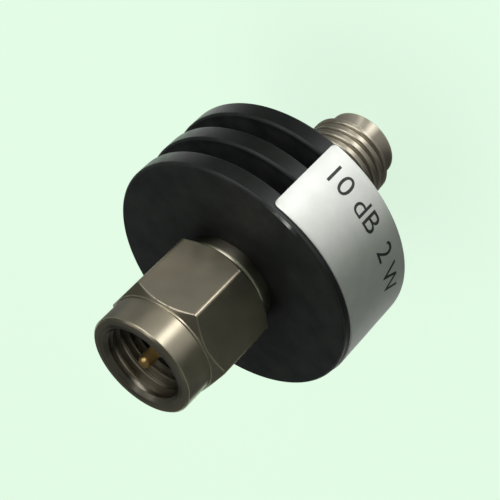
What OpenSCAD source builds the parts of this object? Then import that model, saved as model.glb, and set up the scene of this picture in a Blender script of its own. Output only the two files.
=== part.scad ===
// Fixed coaxial attenuator: a finned body with a screw-on plug at one end and a jack at the other.
// The axis is Z. The part stands on the jack's end face, with the coupling nut at the top.

/* [Heat sink body] */
// Outer diameter of the finned body
body_d = 18.2; // [15:0.1:24]
// Number of fins on the body
fin_count = 3; // [3:1:6]
// Thickness of each fin
fin_w = 1.45; // [1.2:0.05:2.5]
// Width of the groove between two fins
groove_w = 1.4; // [1:0.05:2.5]
// Diameter at the bottom of the grooves
groove_root_d = 12.4; // [9:0.1:13.5]
// Chamfer on the rims of the fins
fin_chamfer = 0.15; // [0.05:0.05:0.4]
// Bore through the body for the connector tails and the chip carrier
body_bore_d = 6; // [5.6:0.1:6.6]

/* [Coupling thread] */
// Major diameter of the connectors' thread
thread_d = 6.35; // [6.2:0.01:6.6]
// Pitch of the connectors' thread
thread_pitch = 0.7056; // [0.5:0.0001:0.8]

/* [Coupling nut] */
// Width of the hexagon across its flats
nut_af = 7.94; // [7.7:0.01:9]
// Length of the hexagon
nut_hex_len = 5.6; // [4.5:0.1:7]
// Diameter of the round barrel in front of the hexagon
nut_barrel_d = 7.65; // [7.2:0.05:7.7]
// Length of the barrel
nut_barrel_len = 2.35; // [1:0.05:4]
// Width of the flat ledge between the barrel and the cone
nut_ledge_w = 0.075; // [0.02:0.005:0.1]
// Diameter of the flat ring on the rear face
nut_rear_d = 7.8; // [6.9:0.05:7.9]
// Slope of the cones that trim the corners of the hexagon
nut_cone_deg = 38; // [20:1:45]
// Thickness of the lip that runs on the plug's neck
nut_lip_len = 1.15; // [0.8:0.05:1.6]
// Diameter of the chamber around the retaining ring
nut_chamber_d = 6.5; // [6.4:0.05:6.8]
// Length of the chamber
nut_chamber_len = 2.25; // [1.8:0.05:3]
// Chamfer on the outer edge of the mouth
nut_mouth_chamfer = 0.15; // [0.05:0.05:0.3]
// Depth of the countersink at the start of the thread
nut_countersink = 0.3; // [0.1:0.05:0.5]
// Angle of the hexagon's first corner about the axis, at rest
nut_turn = 27.5; // [0:0.5:60]

/* [Plug] */
// Diameter of the collar between the body and the nut
collar_d = 6.8; // [6.7:0.1:8]
// Length of the collar
collar_len = 1.2; // [0.6:0.1:3]
// Chamfer on the collar's edge
collar_chamfer = 0.3; // [0.04:0.02:0.4]
// Diameter of the neck that carries the nut
neck_d = 5.5; // [5.3:0.05:5.7]
// Length of the neck in front of the retaining ring
neck_lead = 0.8; // [0.4:0.05:1.2]
// Outer diameter of the mating tube
plug_tube_d = 4.59; // [4.5:0.01:4.7]
// Length of the mating tube in front of the neck
plug_tube_len = 2.7; // [2:0.05:3]
// Chamfer on the front of the mating tube
plug_tube_chamfer = 0.1; // [0.04:0.02:0.16]
// Diameter of the contact pin
pin_d = 0.92; // [0.8:0.01:1]
// Reach of the contact pin in front of the mating tube
pin_reach = 2.5; // [1.6:0.05:2.6]

/* [Retaining ring and gasket] */
// Thickness of the retaining ring along the axis
ring_t = 0.55; // [0.3:0.05:0.7]
// Outer diameter of the retaining ring
ring_d = 6.2; // [6:0.05:6.3]
// Diameter of the groove that holds the retaining ring
ring_groove_d = 4.8; // [4.7:0.05:5]
// Opening of the split in the retaining ring, in degrees
ring_split_deg = 26; // [10:1:60]
// Width of the gasket between its inner and outer edges
gasket_w = 0.445; // [0.3:0.005:0.5]
// Thickness of the gasket
gasket_t = 0.7; // [0.4:0.05:1]
// Rounding of the gasket's edges, cut as a chamfer
gasket_chamfer = 0.1; // [0.04:0.02:0.14]

/* [Jack] */
// Diameter of the smooth end in front of the thread
jack_end_d = 5.3; // [5.1:0.01:5.5]
// Length of the smooth end
jack_end_len = 1.1; // [0.4:0.05:2]
// Chamfer on the edge of the end face
jack_end_chamfer = 0.12; // [0.04:0.02:0.2]
// Length of the thread
jack_thread_len = 5.9; // [4:0.1:10]
// Diameter of the relief behind the thread
jack_relief_d = 5.4; // [5.2:0.05:5.7]
// Length of the relief
jack_relief_len = 0.65; // [0.4:0.05:1.5]
// Diameter of the flange that seats on the body
jack_flange_d = 7; // [6.8:0.1:9]
// Length of the flange
jack_flange_len = 1.1; // [0.6:0.1:3]
// Chamfer on the flange's edge
jack_flange_chamfer = 0.15; // [0.05:0.05:0.3]
// Diameter of the mouth that takes the other plug's mating tube
jack_mouth_d = 4.6; // [4.5:0.01:4.7]
// Depth of the mouth
jack_mouth_depth = 1.9; // [1.5:0.05:2.3]
// Hole in the socket contact
socket_hole_d = 0.96; // [0.85:0.01:1.02]
// Depth of the hole in the socket contact
socket_hole_depth = 2.8; // [2.4:0.1:4]
// Width of the slots that make the socket springy
socket_slot_w = 0.18; // [0.1:0.02:0.3]
// Depth of the slots
socket_slot_depth = 2.3; // [1.5:0.1:2.4]

/* [Inner parts] */
// Diameter of the two dielectrics and of the bore through the carrier
dielectric_d = 4.1; // [3.9:0.02:4.3]
// Diameter of the centre conductors inside the dielectrics
core_d = 1.27; // [1.2:0.01:1.4]
// Length of each connector's tail inside the body
tail_len = 1.6; // [1:0.05:1.8]
// Diameter of the conductors' ends that enter the contact clips
stub_d = 1; // [0.8:0.05:1.1]
// Diameter of the contact clips
clip_d = 1.7; // [1.5:0.05:2.2]
// Length of the contact clips
clip_len = 1; // [0.8:0.05:1.3]
// Depth of the slot by which a clip grips the chip
clip_grip = 0.5; // [0.2:0.05:0.6]
// Thickness of the attenuator chip
chip_t = 0.5; // [0.3:0.05:0.7]
// Depth of the slots that hold the chip's edges
chip_seat = 0.45; // [0.2:0.05:0.55]

/* [Label] */
// Thickness of the label
label_t = 0.12; // [0.06:0.02:0.3]
// Bare rim between the label and the front edge of the body
label_front_margin = 0.85; // [0.2:0.05:1]
// Bare rim between the label and the rear edge of the body
label_rear_margin = 0.15; // [0.1:0.05:1]
// Angle about the axis at which the label starts
label_start_deg = 128; // [0:1:359]
// Angle that the label wraps around the body
label_wrap_deg = 150; // [60:1:300]

/* [Fits] */
// Gap between pieces that are pressed or glued together, on the radius
seat_gap = 0.01; // [0.005:0.005:0.02]
// Gap between the nut's lip and the neck, on the radius
running_gap = 0.05; // [0.02:0.01:0.08]
// Play of the nut along the axis, towards the collar and towards the ring
nut_play = 0.1; // [0.05:0.01:0.2]

/* [Hidden] */
$fn = 96;

// Heights along the axis, from the jack's end face up to the nut's mouth
thread_start_z = jack_end_len + (thread_d - jack_end_d) / 2;
thread_end_z = jack_end_len + jack_thread_len;
flange_z = thread_end_z + jack_relief_len;
body_z = flange_z + jack_flange_len;
body_len = fin_count * fin_w + (fin_count - 1) * groove_w;
body_top_z = body_z + body_len;
collar_top_z = body_top_z + collar_len;
nut_z = collar_top_z + nut_play;
lip_top_z = nut_z + nut_lip_len;
ring_z = lip_top_z + nut_play;
ring_top_z = ring_z + ring_t;
neck_top_z = ring_top_z + neck_lead;
plug_plane_z = neck_top_z + plug_tube_len;
pin_tip_z = plug_plane_z + pin_reach;
nut_ledge_z = nut_z + nut_hex_len;
nut_mouth_z = nut_ledge_z + nut_barrel_len;

// Heights of the pieces inside the body
carrier_z = body_z + tail_len;
carrier_top_z = body_top_z - tail_len;
clip_stub_len = clip_len - clip_grip;
chip_z = carrier_z + clip_stub_len;
chip_top_z = carrier_top_z - clip_stub_len;

// Radii that follow from other sizes
thread_minor_d = thread_d - 1.0825 * thread_pitch;
nut_corner_r = nut_af / sqrt(3);
nut_cone_rise = tan(nut_cone_deg);
tail_d = body_bore_d - 2 * seat_gap;
core_hole_d = core_d + 2 * seat_gap;
dielectric_bore_d = dielectric_d + 2 * seat_gap;
chip_slot_w = chip_t + 2 * seat_gap;
chip_w = dielectric_bore_d + 2 * chip_seat;
stub_len = clip_stub_len - seat_gap;

// How far a cutting shape reaches past the face that it opens
past = 0.5;

// A turned piece, from its section as radius and height points
module turned(section) {
  rotate_extrude() polygon(section);
}

// One fin: a disc with both edges of its rim chamfered
module fin() {
  r = body_d / 2;
  turned([
    [0, 0], [r - fin_chamfer, 0], [r, fin_chamfer],
    [r, fin_w - fin_chamfer], [r - fin_chamfer, fin_w], [0, fin_w]
  ]);
}

module heatsink_body() {
  color("#1d1f1f")
  translate([0, 0, body_z])
  difference() {
    union() {
      cylinder(d = groove_root_d, h = body_len);
      for (i = [0 : fin_count - 1])
        translate([0, 0, i * (fin_w + groove_w)]) fin();
    }
    translate([0, 0, -past]) cylinder(d = body_bore_d, h = body_len + 2 * past);
  }
}

// Plug: tail in the body, collar, neck with the ring groove, and the mating tube
module male_shell() {
  bore = dielectric_bore_d / 2;
  collar = collar_d / 2;
  neck = neck_d / 2;
  groove = ring_groove_d / 2;
  tube = plug_tube_d / 2;
  color("#b3aea3")
  turned([
    [bore, carrier_top_z], [tail_d / 2, carrier_top_z], [tail_d / 2, body_top_z], [collar, body_top_z],
    [collar, collar_top_z - collar_chamfer], [collar - collar_chamfer, collar_top_z], [neck, collar_top_z],
    [neck, ring_z - seat_gap], [groove, ring_z - seat_gap], [groove, ring_top_z + seat_gap],
    [neck, ring_top_z + seat_gap], [neck, neck_top_z], [tube, neck_top_z],
    [tube, plug_plane_z - plug_tube_chamfer], [tube - plug_tube_chamfer, plug_plane_z], [bore, plug_plane_z]
  ]);
}

// A dielectric sleeve between two heights
module dielectric(bottom_z, top_z) {
  translate([0, 0, bottom_z])
  difference() {
    cylinder(d = dielectric_d, h = top_z - bottom_z);
    translate([0, 0, -past]) cylinder(d = core_hole_d, h = top_z - bottom_z + 2 * past);
  }
}

module male_dielectric() {
  color("#efece2") dielectric(carrier_top_z, plug_plane_z);
}

module female_dielectric() {
  color("#efece2") dielectric(jack_mouth_depth, carrier_z);
}

module male_pin() {
  nose = pin_d / 2;
  color("#d2a94e") {
    translate([0, 0, carrier_top_z - stub_len]) cylinder(d = stub_d, h = stub_len);
    translate([0, 0, carrier_top_z]) cylinder(d = core_d, h = plug_plane_z - carrier_top_z);
    translate([0, 0, plug_plane_z]) cylinder(r = nose, h = pin_reach - nose);
    translate([0, 0, pin_tip_z - nose]) sphere(r = nose);
  }
}

module retaining_ring() {
  inner = ring_groove_d / 2 + seat_gap;
  color("#a9a597")
  translate([0, 0, ring_z])
  rotate([0, 0, ring_split_deg / 2])
  rotate_extrude(angle = 360 - ring_split_deg)
  translate([inner, 0]) square([ring_d / 2 - inner, ring_t]);
}

module gasket() {
  inner = plug_tube_d / 2 + seat_gap;
  outer = inner + gasket_w;
  top = neck_top_z + gasket_t;
  color("#7c3a2c")
  turned([
    [inner, neck_top_z], [outer - gasket_chamfer, neck_top_z], [outer, neck_top_z + gasket_chamfer],
    [outer, top - gasket_chamfer], [outer - gasket_chamfer, top], [inner, top]
  ]);
}

// Coupling nut: a turned section trimmed by the hexagon
module coupling_nut() {
  lip = neck_d / 2 + running_gap;
  chamber = nut_chamber_d / 2;
  chamber_top_z = lip_top_z + nut_chamber_len;
  minor = thread_minor_d / 2;
  chamber_cone = chamber - minor;
  barrel = nut_barrel_d / 2;
  rear = nut_rear_d / 2;
  blank = nut_corner_r + past;
  rear_cone = (blank - rear) * nut_cone_rise;
  ledge = barrel + nut_ledge_w;
  front_cone = (blank - ledge) * nut_cone_rise;
  color("#8f8a7d")
  intersection() {
    turned([
      [lip, nut_z], [rear, nut_z], [blank, nut_z + rear_cone], [blank, nut_ledge_z - front_cone],
      [ledge, nut_ledge_z], [barrel, nut_ledge_z], [barrel, nut_mouth_z - nut_mouth_chamfer],
      [barrel - nut_mouth_chamfer, nut_mouth_z], [minor + nut_countersink, nut_mouth_z],
      [minor, nut_mouth_z - nut_countersink], [minor, chamber_top_z + chamber_cone], [chamber, chamber_top_z],
      [chamber, lip_top_z], [lip, lip_top_z]
    ]);
    translate([0, 0, nut_z - past])
    rotate([0, 0, nut_turn])
    cylinder(r = nut_corner_r, h = nut_mouth_z - nut_z + 2 * past, $fn = 6);
  }
}

// Jack: smooth end with the mouth, thread at its major diameter, relief, flange, and the tail in the body
module female_shell() {
  bore = dielectric_bore_d / 2;
  mouth = jack_mouth_d / 2;
  end = jack_end_d / 2;
  crest = thread_d / 2;
  relief = jack_relief_d / 2;
  flange = jack_flange_d / 2;
  color("#a7a296")
  turned([
    [mouth, 0], [end - jack_end_chamfer, 0], [end, jack_end_chamfer], [end, jack_end_len],
    [crest, thread_start_z], [crest, thread_end_z], [relief, thread_end_z], [relief, flange_z],
    [flange - jack_flange_chamfer, flange_z], [flange, flange_z + jack_flange_chamfer], [flange, body_z],
    [tail_d / 2, body_z], [tail_d / 2, carrier_z], [bore, carrier_z], [bore, jack_mouth_depth],
    [mouth, jack_mouth_depth]
  ]);
}

// Socket contact: a conductor with a hole and two crossing slots at its open end
module female_socket() {
  color("#d2a94e")
  difference() {
    union() {
      translate([0, 0, jack_mouth_depth]) cylinder(d = core_d, h = carrier_z - jack_mouth_depth);
      translate([0, 0, carrier_z]) cylinder(d = stub_d, h = stub_len);
    }
    translate([0, 0, jack_mouth_depth - past]) cylinder(d = socket_hole_d, h = socket_hole_depth + past);
    for (turn = [0, 90])
      rotate([0, 0, turn])
      translate([-core_d, -socket_slot_w / 2, jack_mouth_depth - past])
      cube([2 * core_d, socket_slot_w, socket_slot_depth + past]);
  }
}

// Carrier: a sleeve with a slot down each side of its bore for the chip's edges
module chip_carrier() {
  length = carrier_top_z - carrier_z;
  color("#c29a52")
  translate([0, 0, carrier_z])
  difference() {
    cylinder(d = tail_d, h = length);
    translate([0, 0, -past]) cylinder(d = dielectric_bore_d, h = length + 2 * past);
    translate([-chip_w / 2, -chip_slot_w / 2, -past]) cube([chip_w, chip_slot_w, length + 2 * past]);
  }
}

module attenuator_chip() {
  width = chip_w - 2 * seat_gap;
  color("#e4e2dc")
  translate([-width / 2, -chip_t / 2, chip_z]) cube([width, chip_t, chip_top_z - chip_z]);
}

// A clip with a hole for the conductor's end below and a slot for the chip above
module contact_clip() {
  hole_d = stub_d + 2 * seat_gap;
  color("#cfae62")
  difference() {
    cylinder(d = clip_d, h = clip_len);
    translate([0, 0, -past]) cylinder(d = hole_d, h = clip_stub_len + past);
    translate([-clip_d, -chip_slot_w / 2, clip_stub_len]) cube([2 * clip_d, chip_slot_w, clip_grip + past]);
  }
}

module input_clip() {
  translate([0, 0, carrier_top_z]) rotate([180, 0, 0]) contact_clip();
}

module output_clip() {
  translate([0, 0, carrier_z]) contact_clip();
}

module label() {
  inner = body_d / 2 + seat_gap;
  width = body_len - label_front_margin - label_rear_margin;
  color("#e9ebe4")
  translate([0, 0, body_z + label_rear_margin])
  rotate([0, 0, label_start_deg])
  rotate_extrude(angle = label_wrap_deg)
  translate([inner, 0]) square([label_t, width]);
}

heatsink_body();
male_shell();
male_dielectric();
male_pin();
retaining_ring();
gasket();
coupling_nut();
female_shell();
female_dielectric();
female_socket();
chip_carrier();
attenuator_chip();
input_clip();
output_clip();
label();
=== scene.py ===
"""Looks of a fixed coaxial attenuator: machined pieces, label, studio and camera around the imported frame."""
import math

import bmesh
import bpy
from mathutils import Matrix, Vector


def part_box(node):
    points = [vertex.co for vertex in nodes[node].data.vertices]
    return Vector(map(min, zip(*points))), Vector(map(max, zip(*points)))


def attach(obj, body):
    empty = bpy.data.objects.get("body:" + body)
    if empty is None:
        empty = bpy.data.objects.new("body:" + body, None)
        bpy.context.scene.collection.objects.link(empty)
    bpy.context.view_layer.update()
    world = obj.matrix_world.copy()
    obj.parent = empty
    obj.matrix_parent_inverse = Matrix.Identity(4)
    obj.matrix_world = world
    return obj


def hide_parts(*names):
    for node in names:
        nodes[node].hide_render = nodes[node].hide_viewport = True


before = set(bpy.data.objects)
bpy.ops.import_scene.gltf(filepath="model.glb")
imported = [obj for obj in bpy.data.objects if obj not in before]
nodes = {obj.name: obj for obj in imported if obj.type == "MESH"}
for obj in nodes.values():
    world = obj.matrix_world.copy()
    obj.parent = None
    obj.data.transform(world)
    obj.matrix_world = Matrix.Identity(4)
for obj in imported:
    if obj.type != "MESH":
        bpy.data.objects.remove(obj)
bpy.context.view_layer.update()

MM = 0.001

# Lengths below are in millimetres and angles in radians, where nothing else is said

# Finned body
FIN_COUNT = 3
FIN_W = 1.45
FIN_CHAMFER = 0.15
FIN_RIM_FILLET = 0.07
FIN_FACE_FILLET = 0.05
GROOVE_W = 1.4
GROOVE_ROOT_R = 6.2
GROOVE_FILLET = 0.12
BODY_BORE_R = 3.0

# Thread of both connectors: basic depth in the nut, and a rounder, deeper one on the jack
PITCH = 0.7056
THREAD_R = 3.175
THREAD_MINOR_R = THREAD_R - 0.54125 * PITCH
JACK_THREAD_DEPTH = 0.55 * PITCH

# Coupling nut
NUT_AF = 7.94
NUT_TURN = math.radians(27.5)
NUT_CORNER_BLEND = 0.2
NUT_RIM_BLEND = 0.025
NUT_BARREL_R = 3.825
NUT_BARREL_LEN = 2.35
NUT_LEDGE_R = 3.9
NUT_LEDGE_LAND = 0.15
NUT_REAR_R = 3.9
NUT_CONE_RISE = math.tan(math.radians(38))
NUT_LIP_R = 2.8
NUT_LIP_LEN = 1.15
NUT_CHAMBER_R = 3.25
NUT_CHAMBER_LEN = 2.25
NUT_MOUTH_CHAMFER = 0.15
NUT_COUNTERSINK = 0.3
NUT_THREAD_RUNOUT = 0.16

# Plug shell and its pin
COLLAR_R = 3.4
COLLAR_LEN = 1.2
COLLAR_CHAMFER = 0.3
COLLAR_FILLET = 0.2
NECK_R = 2.75
RING_GROOVE_R = 2.4
RING_GAP = 0.01
PLUG_TUBE_R = 2.295
PLUG_TUBE_CHAMFER = 0.1
TAIL_R = 2.99
BORE_R = 2.06
PIN_R = 0.46
PIN_CORE_R = 0.635
PIN_STUB_R = 0.5

# Jack shell
JACK_END_R = 2.65
JACK_END_LEN = 1.1
JACK_END_CHAMFER = 0.12
JACK_THREAD_LEN = 5.9
JACK_RELIEF_R = 2.7
JACK_RELIEF_LEN = 0.65
JACK_FLANGE_R = 3.5
JACK_FLANGE_CHAMFER = 0.15
JACK_MOUTH_R = 2.3
JACK_MOUTH_DEPTH = 1.9

# Label and its print
LABEL_START = math.radians(128)
LABEL_WRAP = math.radians(150)
LABEL_GAP = 0.01
LABEL_LIFT = 0.46
LABEL_CORNER_R = 0.35
LABEL_EDGE_DROP = 0.02
FILM_SAG = 0.006
PRINT = "10 dB  2 W"
PRINT_CAPS = 1.5
PRINT_START = math.radians(-89.8)
PRINT_FOOT = 2.68
PRINT_T = 0.008

# Finish of the meshes: steps round a turn or an arc, creases, and tolerances in metres
SEGMENTS = 240
PIN_SEGMENTS = 96
ARC_STEPS = 4
NOSE_STEPS = 12
THREAD_STEPS = 120
THREAD_POINTS = 16
CREASE = math.radians(32)
LEVEL_TOLERANCE = 1e-6
WELD_DISTANCE = 1e-7
CUT_TOLERANCE = 1e-8
EDGE = "edge"

# Range that a noise texture mostly keeps to
NOISE_LOW = 0.3
NOISE_HIGH = 0.7

# Painted light in the grooves between the fins: where it starts and is full, below the rims and in from the
# end faces
GROOVE_LIGHT_DEPTHS = (0.1, 0.6)
GROOVE_LIGHT_INSETS = (0.2, 0.4)

# Painted glint on a short stretch of the body's front edge
GLINT_AT = math.radians(-88)
GLINT_HALF = math.radians(10)
GLINT_CORE = 0.4 * GLINT_HALF

# Camera: millimetres, degrees and the lens for a 36 mm sensor
CAMERA_AIM = (0.282, 0, 13.186)
CAMERA_DISTANCE = 100.107
CAMERA_ELEVATION = 32.929
CAMERA_ROLL = -135.135
CAMERA_LENS = 108
CAMERA_CLIP = 10

# Floor and world; the floor's half width is in metres
FLOOR_HALF = 1.5
FLOOR_COLOUR = (0.795, 1.0, 0.815)
FLOOR_GLOW = 0.88
WORLD_COLOUR = (0.095, 0.1, 0.095)

# Square softboxes: place, aim, side, brightness, and whether metal mirrors them
SOFTBOXES = {
    "key_softbox": ((70, -85, 55), (0, 0, 14), 80, 2.0, True),
    "left_softbox": ((110, -30, 100), (0, 0, 14), 70, 0.6, True),
    "right_softbox": ((-110, -35, 100), (0, 0, 14), 70, 0.1, True),
    "left_spot": ((50, -60, 118), (0, 0, 20), 14, 7.0, True),
    "overhead_softbox": ((0, 40, 220), (0, 0, 0), 200, 2.8, False),
}

# Reflectors on the floor: inner and outer radius, then azimuths in degrees with their brightness
REFLECTOR_HEIGHT = 0.05
REFLECTOR_SEAM = math.radians(-270)
REFLECTOR_STEPS = 60
REFLECTORS = {
    "tip_reflector": ((2.7, 4.6), [(-215, 0.12), (-175, 0.07), (-150, 0.08), (-138, 0.13), (-126, 0.24),
                                   (-112, 0.38), (-97, 0.5), (-83, 2.1), (-73, 0.7), (-66, 0.6), (-59, 1.1),
                                   (-50, 0.55), (-30, 0.34), (-10, 0.22), (60, 0.18)]),
    "near_reflector": ((4.6, 15), [(-215, 0.1), (-175, 0.05), (-150, 0.06), (-138, 0.1), (-126, 0.18),
                                   (-112, 0.3), (-97, 0.42), (-83, 2.2), (-73, 0.6), (-66, 0.5), (-59, 0.9),
                                   (-50, 0.36), (-30, 0.18), (-10, 0.1), (60, 0.08)]),
    "middle_reflector": ((15, 34), [(-240, 0.95), (-225, 0.6), (-205, 0.3), (-188, 0.1), (-168, 0.05),
                                    (-140, 0.07), (-128, 0.45), (-116, 1.05), (-96, 1.45), (-83, 2.5),
                                    (-74, 1.2), (-66, 0.35), (-45, 0.07), (-18, 0.07), (6, 0.6), (25, 1.0)]),
    "far_reflector": ((34, 150), [(-235, 0.06), (-140, 0.05), (-130, 0.18), (-118, 0.42), (-96, 0.55),
                                  (-83, 4.5), (-72, 0.6), (-58, 0.5), (-40, 0.33), (-20, 0.21), (50, 0.17),
                                  (110, 0.2)]),
}

LOWEST = {name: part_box(name)[0] / MM for name in nodes}
HIGHEST = {name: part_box(name)[1] / MM for name in nodes}


def low(node):
    """Lowest height of a node, in millimetres"""
    return LOWEST[node].z


def high(node):
    """Highest height of a node, in millimetres"""
    return HIGHEST[node].z


def smooth_min(a, b, blend):
    """The smaller of two values with the corner between them rounded, and how near the corner is"""
    near = max(blend - abs(a - b), 0.0) / blend
    return min(a, b) - near * near * blend / 4, near


# Mesh building

def rounded(points):
    """Corners (radius, height, fillet) as points (radius, height, edge), with an arc for each fillet"""
    out = []
    for i, (r, z, fillet) in enumerate(points):
        here = Vector((r, z))
        if not fillet:
            out.append((r, z, 0.0))
            continue
        start = here + (Vector(points[i - 1][:2]) - here).normalized() * fillet
        end = here + (Vector(points[(i + 1) % len(points)][:2]) - here).normalized() * fillet
        for k in range(ARC_STEPS + 1):
            t = k / ARC_STEPS
            p = start * (1 - t) ** 2 + here * 2 * t * (1 - t) + end * t ** 2
            out.append((p.x, p.y, 1 - abs(2 * t - 1)))
    return out


def divided(points, longest):
    """The same outline with extra points, so that no step is longer than a given length"""
    out = [points[0]]
    for a, b in zip(points, points[1:]):
        steps = max(1, math.ceil(math.dist(a[:2], b[:2]) / longest))
        for k in range(1, steps + 1):
            t = k / steps
            out.append(tuple(u + (v - u) * t for u, v in zip(a, b)))
    return out


def new_bmesh():
    """An empty mesh with the layer that marks edges"""
    bm = bmesh.new()
    bm.verts.layers.float.new(EDGE)
    return bm


def add_vertex(bm, r, angle, z, edge=0.0):
    """A vertex at a radius, angle and height, with its edge mark"""
    vertex = bm.verts.new((r * MM * math.cos(angle), r * MM * math.sin(angle), z * MM))
    vertex[bm.verts.layers.float[EDGE]] = edge
    return vertex


def even_angles(count=SEGMENTS):
    """Angles of equal steps round a full turn"""
    return [2 * math.pi * i / count for i in range(count)]


def add_ring(bm, r, z, edge, angles, trim=None):
    """A ring of vertices; trim(radius, angle) gives the radius and the edge mark at each angle"""
    if r == 0:
        return [add_vertex(bm, 0, 0, z, edge)]
    ring = []
    for angle in angles:
        radius, mark = trim(r, angle) if trim else (r, 0.0)
        ring.append(add_vertex(bm, radius, angle, z, max(edge, mark)))
    return ring


def join_rings(bm, a, b):
    """Faces between two rings; a ring of one vertex is a pole"""
    count = max(len(a), len(b))
    for i in range(count):
        k = (i + 1) % count
        corners = [a[i % len(a)], a[k % len(a)], b[k % len(b)], b[i % len(b)]]
        bm.faces.new(list(dict.fromkeys(corners)))


def add_strip(bm, outline, angles, closed, trim=None):
    """Turned surface of an outline of (radius, height, edge) points"""
    rings = [add_ring(bm, r, z, edge, angles, trim) for r, z, edge in outline]
    for a, b in zip(rings, rings[1:]):
        join_rings(bm, a, b)
    if closed:
        join_rings(bm, rings[-1], rings[0])


def everything(bm):
    """All vertices, edges and faces of a mesh"""
    return bm.verts[:] + bm.edges[:] + bm.faces[:]


def add_thread(bm, section, bottom, top, limit):
    """Right-hand screw surface from (radius, share of the pitch, edge) points, cut flat at two heights"""
    spare = 1.5 * PITCH
    last = math.ceil((top - bottom + 2 * spare) / PITCH) * THREAD_STEPS
    columns = []
    for i in range(last + 1):
        column = []
        for r, share, edge in section:
            z = bottom - spare + PITCH * (i / THREAD_STEPS + share)
            column.append(add_vertex(bm, limit(r, z), 2 * math.pi * i / THREAD_STEPS, z, edge))
        columns.append(column)
    for i in range(last):
        a, b = columns[i], columns[i + 1]
        for j in range(len(section) - 1):
            bm.faces.new((a[j], b[j], b[j + 1], a[j + 1]))
        if i + THREAD_STEPS < last:
            next_a, next_b = columns[i + THREAD_STEPS], columns[i + THREAD_STEPS + 1]
            bm.faces.new((a[-1], b[-1], next_b[0], next_a[0]))
    for height, side in ((bottom, -1), (top, 1)):
        bmesh.ops.bisect_plane(bm, geom=everything(bm), plane_co=(0, 0, height * MM), plane_no=(0, 0, side),
                               clear_outer=True, dist=CUT_TOLERANCE)
    bmesh.ops.remove_doubles(bm, verts=bm.verts[:], dist=WELD_DISTANCE)


def open_loop(bm, height):
    """Boundary edges at a height"""
    def level(edge):
        return all(abs(v.co.z - height * MM) < LEVEL_TOLERANCE for v in edge.verts)
    return [e for e in bm.edges if e.is_boundary and level(e)]


def bridge(bm, height):
    """Closes the gap between the two open loops at a height"""
    bmesh.ops.bridge_loops(bm, edges=open_loop(bm, height))


def make_object(name, bm, material):
    """Finishes a mesh: outward normals, smooth shading with sharp creases, and its material"""
    bmesh.ops.recalc_face_normals(bm, faces=bm.faces[:])
    mesh = bpy.data.meshes.new(name)
    bm.to_mesh(mesh)
    bm.free()
    mesh.shade_smooth()
    mesh.set_sharp_from_angle(angle=CREASE)
    mesh.materials.append(material)
    piece = bpy.data.objects.new(name, mesh)
    bpy.context.scene.collection.objects.link(piece)
    return piece


def stand_in(piece, node, body):
    """The piece is shown in place of a node and moves with its body"""
    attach(piece, body)
    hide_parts(node)


# Shader building

def add_node(tree, kind, inputs=None, **settings):
    """A node with its settings; an input is a value or a socket to link"""
    node = tree.nodes.new(kind)
    for key, value in settings.items():
        setattr(node, key, value)
    for key, value in (inputs or {}).items():
        if isinstance(value, bpy.types.NodeSocket):
            tree.links.new(value, node.inputs[key])
        else:
            node.inputs[key].default_value = value
    return node


def math_node(tree, operation, a, b=0.0):
    """Result of a calculation on one or two values"""
    return add_node(tree, "ShaderNodeMath", {0: a, 1: b}, operation=operation).outputs[0]


def added(tree, a, b):
    """Sum of two values"""
    return math_node(tree, "ADD", a, b)


def product(tree, a, b):
    """Product of two values"""
    return math_node(tree, "MULTIPLY", a, b)


def scaled(tree, socket, from_low, from_high, to_low, to_high):
    """A value mapped from one range to another, and held at its ends"""
    inputs = {"Value": socket, "From Min": from_low, "From Max": from_high,
              "To Min": to_low, "To Max": to_high}
    return add_node(tree, "ShaderNodeMapRange", inputs).outputs[0]


def varied(tree, noise, lowest, highest):
    """A noise spread over a range of values"""
    return scaled(tree, noise, NOISE_LOW, NOISE_HIGH, lowest, highest)


def colour_ramp(tree, socket, stops):
    """Colours along a value: stops are (place, (r, g, b))"""
    node = add_node(tree, "ShaderNodeValToRGB", {"Fac": socket})
    ramp = node.color_ramp
    while len(ramp.elements) < len(stops):
        ramp.elements.new(0.5)
    for element, (place, colour) in zip(ramp.elements, stops):
        element.position = place
        element.color = (*colour, 1)
    return node.outputs["Color"]


def mottled(tree, noise, dark, light):
    """A noise as colours between a dark and a light one"""
    return colour_ramp(tree, noise, [(NOISE_LOW, dark), (NOISE_HIGH, light)])


def object_place(tree):
    """Place on the part, in metres"""
    return add_node(tree, "ShaderNodeTexCoord").outputs["Object"]


def place_parts(tree):
    """X, Y and Z of the place on the part"""
    return add_node(tree, "ShaderNodeSeparateXYZ", {"Vector": object_place(tree)}).outputs


def azimuth_of(tree, parts):
    """Angle round the part's axis"""
    return math_node(tree, "ARCTAN2", parts["Y"], parts["X"])


def axis_radius(tree):
    """Distance from the part's axis, in metres, and the height"""
    parts = place_parts(tree)
    flat = add_node(tree, "ShaderNodeCombineXYZ", {"X": parts["X"], "Y": parts["Y"]}).outputs[0]
    length = add_node(tree, "ShaderNodeVectorMath", {0: flat}, operation="LENGTH").outputs["Value"]
    return length, parts["Z"]


def turning_marks(tree, width_mm):
    """Fine rings left by a lathe: noise along height plus radius, so they run round rims and faces alike"""
    radius, height = axis_radius(tree)
    inputs = {"W": added(tree, height, radius), "Scale": 1 / (width_mm * MM), "Detail": 3.0}
    return add_node(tree, "ShaderNodeTexNoise", inputs, noise_dimensions="1D").outputs[0]


def cloud(tree, size_mm, detail=4.0, stretch=(1, 1, 1)):
    """Soft uneven patches of about a given size"""
    place = add_node(tree, "ShaderNodeMapping", {"Vector": object_place(tree), "Scale": stretch}).outputs[0]
    inputs = {"Vector": place, "Scale": 1 / (size_mm * MM), "Detail": detail}
    return add_node(tree, "ShaderNodeTexNoise", inputs).outputs[0]


def edge_mark(tree):
    """The mark that the meshes carry on their rounded edges"""
    return add_node(tree, "ShaderNodeAttribute", attribute_name=EDGE).outputs["Fac"]


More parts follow.
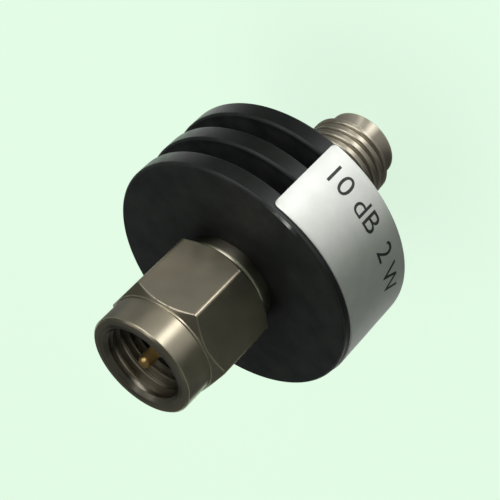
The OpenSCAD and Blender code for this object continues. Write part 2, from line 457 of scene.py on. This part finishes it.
def facing_axis(tree, amount):
    """An amount on faces that look along the axis, and none on rims"""
    start, full = 0.3, 0.95
    normal = add_node(tree, "ShaderNodeNewGeometry").outputs["Normal"]
    height = add_node(tree, "ShaderNodeSeparateXYZ", {"Vector": normal}).outputs["Z"]
    return scaled(tree, math_node(tree, "ABSOLUTE", height), start, full, 0.0, amount)


def painted_groove_light(tree, amount):
    """Painted light: an amount on the walls and roots of the grooves, and none on the rims and the end faces
    """
    radius, height = axis_radius(tree)
    rim = HIGHEST["heatsink_body"].x
    middle = (low("heatsink_body") + high("heatsink_body")) / 2
    half = high("heatsink_body") - middle
    start, full = ((rim - depth) * MM for depth in GROOVE_LIGHT_DEPTHS)
    deep = scaled(tree, radius, full, start, amount, 0.0)
    off_middle = math_node(tree, "ABSOLUTE", math_node(tree, "SUBTRACT", height, middle * MM))
    start, full = ((half - inset) * MM for inset in GROOVE_LIGHT_INSETS)
    inside = scaled(tree, off_middle, full, start, 1.0, 0.0)
    return product(tree, deep, inside)


def painted_glint(tree, amount):
    """An uneven amount on a short stretch of the body's front edge: a painted glint"""
    fade_low, fade_high, fade_inward = 0.04, 0.02, 0.05
    parts = place_parts(tree)
    turn = math_node(tree, "SUBTRACT", azimuth_of(tree, parts), GLINT_AT)
    near = scaled(tree, math_node(tree, "ABSOLUTE", turn), GLINT_CORE, GLINT_HALF, 1.0, 0.0)
    front = high("heatsink_body") - FIN_CHAMFER
    at_front = scaled(tree, parts["Z"], (front - fade_low) * MM, (front + fade_high) * MM, 0.0, 1.0)
    rim = HIGHEST["heatsink_body"].x - FIN_CHAMFER
    at_rim = scaled(tree, axis_radius(tree)[0], (rim - fade_inward) * MM, rim * MM, 0.0, amount)
    uneven = varied(tree, cloud(tree, size_mm=1.0), 0.7, 1.0)
    return product(tree, product(tree, near, product(tree, at_front, at_rim)), uneven)


def bump(tree, height, depth_mm, below=None):
    """Surface relief of a given depth, on top of another if there is one below"""
    inputs = {"Height": height, "Distance": depth_mm * MM, "Strength": 1.0}
    if below:
        inputs["Normal"] = below
    return add_node(tree, "ShaderNodeBump", inputs).outputs[0]


def new_material(name):
    """An empty material, its node tree and its shader"""
    material = bpy.data.materials.new(name)
    material.use_nodes = True
    tree = material.node_tree
    return material, tree, tree.nodes["Principled BSDF"]


def feed(tree, shader, **inputs):
    """Sets the shader's inputs, with _ for a space in their names"""
    for key, value in inputs.items():
        socket = shader.inputs[key.replace("_", " ")]
        if isinstance(value, bpy.types.NodeSocket):
            tree.links.new(value, socket)
        else:
            socket.default_value = value


# Materials

def anodised_material():
    """Black anodised aluminium: satin, with lathe marks, paler edges, painted light between the fins and a
    painted glint on the front edge
    """
    edge_gain, groove_light_gain, glint_gain, contrast = 0.12, 0.4, 0.6, 0.5
    # The last, pale stop is mostly reached by the painted glint
    stops = [(0.17, (0.0085, 0.0097, 0.0092)), (0.35, (0.0145, 0.0163, 0.0153)),
             (0.52, (0.034, 0.037, 0.035)), (0.62, (0.042, 0.045, 0.043)), (1.0, (0.7, 0.7, 0.67))]
    material, tree, shader = new_material("black_anodised")
    tone = added(tree, cloud(tree, size_mm=1.5), product(tree, edge_mark(tree), edge_gain))
    # Painted light between the fins makes the groove walls and roots paler
    tone = product(tree, added(tree, tone, painted_groove_light(tree, groove_light_gain)), contrast)
    # Painted glint on a short stretch of the front edge
    tone = added(tree, tone, painted_glint(tree, glint_gain))
    satin = varied(tree, cloud(tree, size_mm=0.6), 0.31, 0.38)
    marks = bump(tree, turning_marks(tree, width_mm=0.09), depth_mm=0.0022)
    feed(tree, shader, Base_Color=colour_ramp(tree, tone, stops), Metallic=0.0, Specular_IOR_Level=0.42,
         Roughness=added(tree, satin, facing_axis(tree, 0.22)),
         Normal=bump(tree, cloud(tree, size_mm=0.05), depth_mm=0.0012, below=marks))
    return material


def steel_material(name, dark, light, roughness, shade_within=0.0, shade_above=0.0):
    """Turned metal: lathe marks that stretch its reflections, faint stains, paler edges, painted shade within
    a radius and painted shade above a height
    """
    edge_gain, painted_bore_shade, bore_fade, painted_top_shade, top_fade = 0.3, -0.27, 0.25, -0.36, 0.1
    shade, shine, uneven = 0.25, 1.3, 0.03
    stops = [(0.0, tuple(shade * c for c in dark)), (0.32, dark), (0.62, light),
             (1.0, tuple(shine * c for c in light))]
    material, tree, shader = new_material(name)
    radius, height = axis_radius(tree)
    tone = added(tree, cloud(tree, size_mm=3.5, detail=2.0), product(tree, edge_mark(tree), edge_gain))
    # Painted shade: darker inside the bore, within the given radius
    if shade_within:
        bore, wall = shade_within * MM, (shade_within + bore_fade) * MM
        tone = added(tree, tone, scaled(tree, radius, bore, wall, painted_bore_shade, 0.0))
    # Painted shade: darker above the given height
    if shade_above:
        start, full = (shade_above - top_fade) * MM, shade_above * MM
        tone = added(tree, tone, scaled(tree, height, start, full, 0.0, painted_top_shade))
    stains = cloud(tree, size_mm=1.2, detail=2.0)
    round_axis = add_node(tree, "ShaderNodeTangent", direction_type="RADIAL", axis="Z").outputs[0]
    feed(tree, shader, Base_Color=colour_ramp(tree, tone, stops), Metallic=1.0,
         Roughness=varied(tree, stains, roughness - uneven, roughness + uneven),
         Anisotropic=0.6, Anisotropic_Rotation=0.25, Tangent=round_axis,
         Normal=bump(tree, turning_marks(tree, width_mm=0.07), depth_mm=0.0012))
    return material


def gold_material():
    """Hard gold plate with fine polish marks"""
    material, tree, shader = new_material("gold_contact")
    colour = mottled(tree, cloud(tree, size_mm=0.4), (0.66, 0.43, 0.15), (0.80, 0.56, 0.24))
    feed(tree, shader, Base_Color=colour, Metallic=1.0,
         Roughness=varied(tree, cloud(tree, size_mm=0.2), 0.34, 0.42),
         Normal=bump(tree, turning_marks(tree, width_mm=0.05), depth_mm=0.0008))
    return material


def plain_material(name, dark, light, roughness, metallic=0.0, grain_mm=0.3, depth_mm=0.002):
    """A softly mottled surface with a fine grain"""
    uneven = 0.05
    material, tree, shader = new_material(name)
    patches = cloud(tree, size_mm=0.5)
    feed(tree, shader, Base_Color=mottled(tree, cloud(tree, grain_mm), dark, light), Metallic=metallic,
         Roughness=varied(tree, patches, roughness - uneven, roughness + uneven),
         Normal=bump(tree, cloud(tree, grain_mm / 4), depth_mm))
    return material


def label_material():
    """Satin silver film: faint brushing along the wrap and slight ripples"""
    material, tree, shader = new_material("label_film")
    colour = mottled(tree, cloud(tree, size_mm=1.2), (0.72, 0.725, 0.69), (0.78, 0.785, 0.75))
    brushed = cloud(tree, size_mm=0.6, detail=5.0, stretch=(1, 1, 22))
    ripples = bump(tree, cloud(tree, size_mm=2.6, detail=1.0), depth_mm=0.004)
    feed(tree, shader, Base_Color=colour, Metallic=0.75, Roughness=varied(tree, brushed, 0.4, 0.48),
         Normal=bump(tree, brushed, depth_mm=0.0012, below=ripples))
    return material


def floor_material():
    """Pale floor: camera, glossy and transmission rays see its colour with a softened shadow"""
    material, tree, shader = new_material("floor")
    feed(tree, shader, Base_Color=(*FLOOR_COLOUR, 1), Roughness=0.9, Specular_IOR_Level=0.0)
    seen = add_node(tree, "ShaderNodeLightPath").outputs
    direct = math_node(tree, "MAXIMUM", seen["Is Camera Ray"], seen["Is Glossy Ray"])
    direct = math_node(tree, "MAXIMUM", direct, seen["Is Transmission Ray"])
    share = product(tree, direct, FLOOR_GLOW)
    glow = add_node(tree, "ShaderNodeEmission", {"Color": (*FLOOR_COLOUR, 1)})
    mixed = add_node(tree, "ShaderNodeMixShader", {0: share, 1: shader.outputs[0], 2: glow.outputs[0]})
    tree.links.new(mixed.outputs[0], tree.nodes["Material Output"].inputs["Surface"])
    material.cycles.emission_sampling = "NONE"
    return material


def reflector_material(name, stops):
    """A black card that glows by azimuth: stops are (degrees, brightness)"""
    material, tree, shader = new_material(name)
    past_seam = math_node(tree, "SUBTRACT", azimuth_of(tree, place_parts(tree)), REFLECTOR_SEAM)
    turn = math_node(tree, "FLOORED_MODULO", past_seam, 2 * math.pi)
    share = math_node(tree, "DIVIDE", turn, 2 * math.pi)
    brightest = max(level for azimuth, level in stops)
    greys = []
    for azimuth, level in stops:
        place = (math.radians(azimuth) - REFLECTOR_SEAM) / (2 * math.pi)
        greys.append((place, (level / brightest,) * 3))
    feed(tree, shader, Base_Color=(0, 0, 0, 1), Roughness=0.9, Specular_IOR_Level=0.0,
         Emission_Strength=brightest, Emission_Color=colour_ramp(tree, share, greys))
    material.cycles.emission_sampling = "NONE"
    return material


# Pieces

def build_heatsink(material):
    """Finned body: one turned outline with the grooves between the fins"""
    lowest, highest = low("heatsink_body"), high("heatsink_body")
    outer = HIGHEST["heatsink_body"].x
    points = [(BODY_BORE_R, lowest, 0)]
    for i in range(FIN_COUNT):
        bottom = lowest + i * (FIN_W + GROOVE_W)
        top = bottom + FIN_W
        if i:
            points.append((GROOVE_ROOT_R, bottom - GROOVE_W, GROOVE_FILLET))
            points.append((GROOVE_ROOT_R, bottom, GROOVE_FILLET))
        points += [
            (outer - FIN_CHAMFER, bottom, FIN_FACE_FILLET), (outer, bottom + FIN_CHAMFER, FIN_RIM_FILLET),
            (outer, top - FIN_CHAMFER, FIN_RIM_FILLET), (outer - FIN_CHAMFER, top, FIN_FACE_FILLET)]
    points.append((BODY_BORE_R, highest, 0))
    bm = new_bmesh()
    add_strip(bm, rounded(points), even_angles(), closed=True)
    piece = make_object("heatsink_finned", bm, material)
    stand_in(piece, "heatsink_body", "body")


def build_plug(material):
    """Plug shell: tail, collar, neck with the ring groove, and the mating tube"""
    collar_edge, neck_root, groove_edge = 0.04, 0.06, 0.03
    neck_edge, tube_edge, bore_edge = 0.05, 0.03, 0.02
    body_top, top = high("heatsink_body"), high("male_shell")
    neck_top = low("gasket")
    collar_top = body_top + COLLAR_LEN
    ring_low, ring_high = low("retaining_ring") - RING_GAP, high("retaining_ring") + RING_GAP
    tail = low("male_shell")
    points = [
        (BORE_R, tail, 0), (TAIL_R, tail, 0), (TAIL_R, body_top, 0), (COLLAR_R, body_top, 0),
        (COLLAR_R, collar_top - COLLAR_CHAMFER, COLLAR_FILLET),
        (COLLAR_R - COLLAR_CHAMFER, collar_top, collar_edge),
        (NECK_R, collar_top, neck_root), (NECK_R, ring_low, groove_edge), (RING_GROOVE_R, ring_low, 0),
        (RING_GROOVE_R, ring_high, 0), (NECK_R, ring_high, groove_edge), (NECK_R, neck_top, neck_edge),
        (PLUG_TUBE_R, neck_top, tube_edge), (PLUG_TUBE_R, top - PLUG_TUBE_CHAMFER, tube_edge),
        (PLUG_TUBE_R - PLUG_TUBE_CHAMFER, top, tube_edge), (BORE_R, top, bore_edge)]
    bm = new_bmesh()
    add_strip(bm, rounded(points), even_angles(), closed=True)
    piece = make_object("plug_shell", bm, material)
    stand_in(piece, "male_shell", "body")


def build_pin(material):
    """Centre contact of the plug, with a round nose"""
    stub_edge, core_edge = 0.03, 0.02
    bottom, top = low("male_pin"), high("male_pin")
    shoulder, plane = low("male_dielectric"), high("male_dielectric")
    outline = rounded([
        (0, bottom, 0), (PIN_STUB_R, bottom, stub_edge), (PIN_STUB_R, shoulder, 0), (PIN_CORE_R, shoulder, 0),
        (PIN_CORE_R, plane, core_edge), (PIN_R, plane, core_edge)])
    for k in range(NOSE_STEPS + 1):
        turn = math.pi / 2 * k / NOSE_STEPS
        radius = PIN_R * math.cos(turn) if k < NOSE_STEPS else 0
        outline.append((radius, top - PIN_R + PIN_R * math.sin(turn), 0))
    bm = new_bmesh()
    add_strip(bm, outline, even_angles(PIN_SEGMENTS), closed=False)
    piece = make_object("plug_pin", bm, material)
    stand_in(piece, "male_pin", "body")


def nut_angles():
    """Angles round the nut, closer together at the hexagon's corners"""
    per_side, crowding = 44, 1.7
    angles = []
    for side in range(6):
        for i in range(per_side):
            t = 2 * i / per_side - 1
            spread = math.copysign(1 - (1 - abs(t)) ** crowding, t)
            angles.append(NUT_TURN + math.radians(60 * side + 30 + 30 * spread))
    return angles


def hexagon_trim(r, angle):
    """Radius of a turned surface cut by the hexagon, with its corners and edges a little rounded"""
    apothem = NUT_AF / 2
    step = math.radians(60)
    offset = (angle - NUT_TURN) % step - step / 2
    near = apothem / math.cos(offset)
    beside = apothem / math.cos(step - abs(offset))
    side, corner = smooth_min(near, beside, NUT_CORNER_BLEND)
    radius, rim = smooth_min(side, r, NUT_RIM_BLEND)
    on_side = 1.0 if side < r else 0.0
    return radius, max(corner * on_side, rim)


def build_nut(material):
    """Coupling nut: hexagon with coned ends, round barrel, countersunk mouth and the inner thread"""
    mouth_edge, ledge_edge, rear_edge, lip_edge = 0.05, 0.06, 0.05, 0.08
    blank_spare, longest_step = 0.1, 0.07
    rear, mouth = low("coupling_nut"), high("coupling_nut")
    ledge = mouth - NUT_BARREL_LEN
    land = ledge + NUT_LEDGE_LAND
    lip_top = rear + NUT_LIP_LEN
    chamber_top = lip_top + NUT_CHAMBER_LEN
    thread_low = chamber_top + NUT_CHAMBER_R - THREAD_MINOR_R
    thread_high = mouth - NUT_COUNTERSINK
    blank = NUT_AF / math.sqrt(3) + blank_spare
    rear_cone = (blank - NUT_REAR_R) * NUT_CONE_RISE
    front_cone = (blank - NUT_LEDGE_R) * NUT_CONE_RISE
    points = [
        (THREAD_MINOR_R, thread_high, 0), (THREAD_MINOR_R + NUT_COUNTERSINK, mouth, mouth_edge),
        (NUT_BARREL_R - NUT_MOUTH_CHAMFER, mouth, mouth_edge),
        (NUT_BARREL_R, mouth - NUT_MOUTH_CHAMFER, mouth_edge),
        (NUT_BARREL_R, land, 0), (NUT_LEDGE_R, land, ledge_edge), (NUT_LEDGE_R, ledge, 0),
        (blank, ledge - front_cone, 0), (blank, rear + rear_cone, 0), (NUT_REAR_R, rear, rear_edge),
        (NUT_LIP_R, rear, lip_edge), (NUT_LIP_R, lip_top, 0), (NUT_CHAMBER_R, lip_top, 0),
        (NUT_CHAMBER_R, chamber_top, 0), (THREAD_MINOR_R, thread_low, 0)]

    def limit(r, z):
        from_ends = min(thread_high - z, z - thread_low) / NUT_THREAD_RUNOUT
        return THREAD_MINOR_R + (r - THREAD_MINOR_R) * min(max(from_ends, 0), 1)

    root_round, crest_round = 0.03, 0.02
    section = [
        (THREAD_MINOR_R, 0.0, 0), (THREAD_MINOR_R, 0.2, 0), (THREAD_R - root_round, 0.5, 0),
        (THREAD_R, 0.54, 0), (THREAD_R, 0.62, 0), (THREAD_R - root_round, 0.66, 0),
        (THREAD_MINOR_R + crest_round, 0.95, 0)]
    bm = new_bmesh()
    add_thread(bm, section, thread_low, thread_high, limit)
    add_strip(bm, divided(rounded(points), longest_step), nut_angles(), closed=False, trim=hexagon_trim)
    bridge(bm, thread_high)
    bridge(bm, thread_low)
    piece = make_object("coupling_nut_threaded", bm, material)
    stand_in(piece, "coupling_nut", "nut")


def build_jack(material):
    """Jack shell: smooth end with the mouth, thread, relief, flange and tail"""
    relief_root, flange_edge, mouth_edge, face_edge, end_edge = 0.08, 0.05, 0.04, 0.03, 0.04
    body_low = low("heatsink_body")
    thread_end = JACK_END_LEN + JACK_THREAD_LEN
    flange = thread_end + JACK_RELIEF_LEN
    tail = high("female_shell")
    points = [
        (JACK_RELIEF_R, thread_end, 0), (JACK_RELIEF_R, flange, relief_root),
        (JACK_FLANGE_R - JACK_FLANGE_CHAMFER, flange, flange_edge),
        (JACK_FLANGE_R, flange + JACK_FLANGE_CHAMFER, flange_edge),
        (JACK_FLANGE_R, body_low, 0), (TAIL_R, body_low, 0), (TAIL_R, tail, 0), (BORE_R, tail, 0),
        (BORE_R, JACK_MOUTH_DEPTH, 0), (JACK_MOUTH_R, JACK_MOUTH_DEPTH, 0), (JACK_MOUTH_R, 0, mouth_edge),
        (JACK_END_R - JACK_END_CHAMFER, 0, face_edge), (JACK_END_R, JACK_END_CHAMFER, end_edge),
        (JACK_END_R, JACK_END_LEN, 0)]
    start_slope, end_slope = 1.0, 1.4

    def limit(r, z):
        started = JACK_END_R + start_slope * (z - JACK_END_LEN)
        ending = JACK_RELIEF_R + end_slope * (thread_end - z)
        return min(r, started, ending)

    crest_power, flank_power = 4, 0.8
    section = []
    for k in range(THREAD_POINTS):
        share = k / THREAD_POINTS
        rise = (1 - abs(2 * share - 1) ** crest_power) ** flank_power
        section.append((THREAD_R - JACK_THREAD_DEPTH * (1 - rise), share, rise))
    bm = new_bmesh()
    add_thread(bm, section, JACK_END_LEN, thread_end, limit)
    add_strip(bm, rounded(points), even_angles(), closed=False)
    bridge(bm, JACK_END_LEN)
    bridge(bm, thread_end)
    piece = make_object("jack_threaded", bm, material)
    stand_in(piece, "female_shell", "body")


def film_sag(z):
    """How far the label's film dips where it bridges a groove, in millimetres"""
    along = (z - low("heatsink_body")) % (FIN_W + GROOVE_W) - FIN_W
    if along <= 0:
        return 0.0
    return FILM_SAG * math.sin(math.pi * along / GROOVE_W) ** 2


def label_places(outer):
    """Places along the label, closer together at its rounded ends: angle and how far the corners cut in"""
    corner_steps, columns = 10, 150
    length = LABEL_WRAP * outer
    ends = [LABEL_CORNER_R * (1 - math.cos(math.pi / 2 * k / corner_steps)) for k in range(corner_steps)]
    middle = [LABEL_CORNER_R + (length - 2 * LABEL_CORNER_R) * k / columns for k in range(columns + 1)]
    places = []
    for along in ends + middle + [length - s for s in reversed(ends)]:
        short = max(LABEL_CORNER_R - min(along, length - along), 0.0)
        cut = LABEL_CORNER_R - math.sqrt(LABEL_CORNER_R ** 2 - short ** 2)
        places.append((LABEL_START + along / outer, cut))
    return places


def build_label(material):
    """Label: a thin film wrapped over the fins, a little askew, its front edge rising along the wrap"""
    inner = HIGHEST["heatsink_body"].x + LABEL_GAP
    outer = -LOWEST["label"].x
    places = label_places(outer)
    columns, rows = len(places) - 1, 48
    bm = new_bmesh()
    grid = []
    for i, (angle, cut) in enumerate(places):
        lift = LABEL_LIFT * ((angle - LABEL_START) / LABEL_WRAP) ** 2
        bottom, top = low("label") + cut, high("label") + lift - cut
        skin, back = [], []
        for k in range(rows + 1):
            z = bottom + (top - bottom) * k / rows
            at_edge = 1.0 if i in (0, columns) or k in (0, rows) else 0.0
            skin.append(add_vertex(bm, outer - film_sag(z) - LABEL_EDGE_DROP * at_edge, angle, z, at_edge))
            back.append(add_vertex(bm, inner - film_sag(z), angle, z))
        grid.append((skin, back))
    for (skin_a, back_a), (skin_b, back_b) in zip(grid, grid[1:]):
        for k in range(rows):
            bm.faces.new((skin_a[k], skin_b[k], skin_b[k + 1], skin_a[k + 1]))
            bm.faces.new((back_a[k + 1], back_b[k + 1], back_b[k], back_a[k]))
        for k in (0, rows):
            bm.faces.new((skin_a[k], back_a[k], back_b[k], skin_b[k]))
    for skin, back in (grid[0], grid[-1]):
        for k in range(rows):
            bm.faces.new((skin[k], skin[k + 1], back[k + 1], back[k]))
    piece = make_object("label_film", bm, material)
    stand_in(piece, "label", "body")


def letters(words, caps):
    """Flat mesh of words with capitals of a given height, read along +X, in millimetres"""
    curve = bpy.data.curves.new("letters", "FONT")
    curve.body = words
    source = bpy.data.objects.new("letters", curve)
    bpy.context.scene.collection.objects.link(source)
    bpy.context.view_layer.update()
    flat = bpy.data.meshes.new_from_object(source.evaluated_get(bpy.context.evaluated_depsgraph_get()))
    bm = bmesh.new()
    bm.from_mesh(flat)
    bpy.data.objects.remove(source)
    bpy.data.curves.remove(curve)
    bpy.data.meshes.remove(flat)
    tall = max(v.co.y for v in bm.verts)
    left = min(v.co.x for v in bm.verts)
    for v in bm.verts:
        v.co = ((v.co.x - left) * caps / tall, v.co.y * caps / tall, 0)
    return bm


def build_print(material):
    """Words on the label: thin letters that follow the film, with their tops towards the jack"""
    step, weld_mm = 0.15, 1e-4
    outer = -LOWEST["label"].x
    foot = low("heatsink_body") + PRINT_FOOT
    bm = letters(PRINT, PRINT_CAPS)
    bmesh.ops.triangulate(bm, faces=bm.faces[:])
    length = max(v.co.x for v in bm.verts)
    for k in range(1, math.ceil(length / step)):
        bmesh.ops.bisect_plane(bm, geom=everything(bm), plane_co=(k * step, 0, 0), plane_no=(1, 0, 0))
    bmesh.ops.remove_doubles(bm, verts=bm.verts[:], dist=weld_mm)
    for raised in bmesh.ops.extrude_face_region(bm, geom=bm.faces[:])["geom"]:
        if isinstance(raised, bmesh.types.BMVert):
            raised.co.z = PRINT_T
    for v in bm.verts:
        angle = PRINT_START - v.co.x / outer
        z = foot - v.co.y
        radius = outer - film_sag(z) + v.co.z
        v.co = (radius * MM * math.cos(angle), radius * MM * math.sin(angle), z * MM)
    piece = make_object("label_print", bm, material)
    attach(piece, "body")


def finish_kept_nodes(gold):
    """Materials of the solids that show as they are"""
    ptfe = plain_material("ptfe", (0.70, 0.69, 0.65), (0.80, 0.79, 0.75), 0.5)
    finishes = {
        "male_dielectric": ptfe,
        "female_dielectric": ptfe,
        "gasket": plain_material("silicone", (0.12, 0.035, 0.022), (0.17, 0.05, 0.03), 0.55),
        "retaining_ring": plain_material("spring_bronze", (0.35, 0.27, 0.15), (0.45, 0.35, 0.2), 0.3,
                                         metallic=1.0),
        "chip_carrier": plain_material("carrier_brass", (0.45, 0.34, 0.16), (0.58, 0.45, 0.22), 0.3,
                                       metallic=1.0),
        "attenuator_chip": plain_material("alumina", (0.75, 0.74, 0.70), (0.84, 0.83, 0.80), 0.6),
        "female_socket": gold,
        "input_clip": gold,
        "output_clip": gold,
    }
    for name, material in finishes.items():
        nodes[name].data.materials.clear()
        nodes[name].data.materials.append(material)


# Studio

def build_floor():
    """A wide pale square under the part"""
    bm = new_bmesh()
    for x, y in ((-1, -1), (1, -1), (1, 1), (-1, 1)):
        bm.verts.new((x * FLOOR_HALF, y * FLOOR_HALF, 0))
    bm.faces.new(bm.verts[:])
    make_object("floor", bm, floor_material())


def add_softbox(name, place, aim, side, radiance, mirrored):
    """A square lamp of even brightness, turned towards a point"""
    lamp = bpy.data.lights.new(name, "AREA")
    lamp.shape = "SQUARE"
    lamp.size = side * MM
    lamp.energy = radiance * math.pi * lamp.size ** 2
    light = bpy.data.objects.new(name, lamp)
    light.location = Vector(place) * MM
    light.rotation_euler = (Vector(aim) - Vector(place)).to_track_quat("-Z", "Y").to_euler()
    light.visible_camera = False
    light.visible_glossy = mirrored
    bpy.context.scene.collection.objects.link(light)


def add_reflector(name, radii, stops):
    """A ring-shaped card on the floor, seen only in reflections"""
    first, last = math.radians(stops[0][0]), math.radians(stops[-1][0])
    turns = [first + (last - first) * i / REFLECTOR_STEPS for i in range(REFLECTOR_STEPS + 1)]
    bm = new_bmesh()
    inner, outer = [[add_vertex(bm, radius, turn, REFLECTOR_HEIGHT) for turn in turns] for radius in radii]
    for i in range(REFLECTOR_STEPS):
        bm.faces.new((inner[i], outer[i], outer[i + 1], inner[i + 1]))
    card = make_object(name, bm, reflector_material(name, stops))
    card.visible_camera = False
    card.visible_diffuse = False
    card.visible_shadow = False


def set_world():
    """Even dim light from all round"""
    world = bpy.data.worlds.new("studio")
    world.use_nodes = True
    world.node_tree.nodes["Background"].inputs["Color"].default_value = (*WORLD_COLOUR, 1)
    bpy.context.scene.world = world


def set_camera():
    """Camera that looks down on the part, rolled so that the nut points to the lower left"""
    elevation = math.radians(CAMERA_ELEVATION)
    back = Vector((0, -math.cos(elevation), math.sin(elevation)))
    camera = bpy.data.objects.new("camera", bpy.data.cameras.new("camera"))
    camera.data.lens = CAMERA_LENS
    camera.data.clip_start = CAMERA_CLIP * MM
    level = back.to_track_quat("Z", "Y").to_matrix().to_4x4()
    roll = Matrix.Rotation(math.radians(CAMERA_ROLL), 4, "Z")
    place = (Vector(CAMERA_AIM) + back * CAMERA_DISTANCE) * MM
    camera.matrix_world = Matrix.Translation(place) @ level @ roll
    bpy.context.scene.collection.objects.link(camera)
    bpy.context.scene.camera = camera


bpy.context.scene.view_settings.view_transform = "Standard"

# Stainless: painted shade above the body's top, on the collar, the neck and the tube inside the nut
stainless = steel_material("stainless", (0.45, 0.41, 0.325), (0.54, 0.495, 0.395), 0.34,
                           shade_above=high("heatsink_body"))
# Nut steel: painted shade in its bore and inner thread
nut_steel = steel_material("nut_steel", (0.395, 0.36, 0.285), (0.485, 0.43, 0.32), 0.32,
                           shade_within=NUT_CHAMBER_R)
print_ink = plain_material("print_ink", (0.012, 0.013, 0.012), (0.022, 0.023, 0.021), 0.45,
                           grain_mm=0.08, depth_mm=0.0005)
gold_plate = gold_material()

build_heatsink(anodised_material())
build_plug(stainless)
build_pin(gold_plate)
build_nut(nut_steel)
build_jack(stainless)
build_label(label_material())
build_print(print_ink)
finish_kept_nodes(gold_plate)

build_floor()
set_world()
for reflector_name, (reflector_radii, reflector_stops) in REFLECTORS.items():
    add_reflector(reflector_name, reflector_radii, reflector_stops)
for softbox_name, softbox in SOFTBOXES.items():
    add_softbox(softbox_name, *softbox)
set_camera()
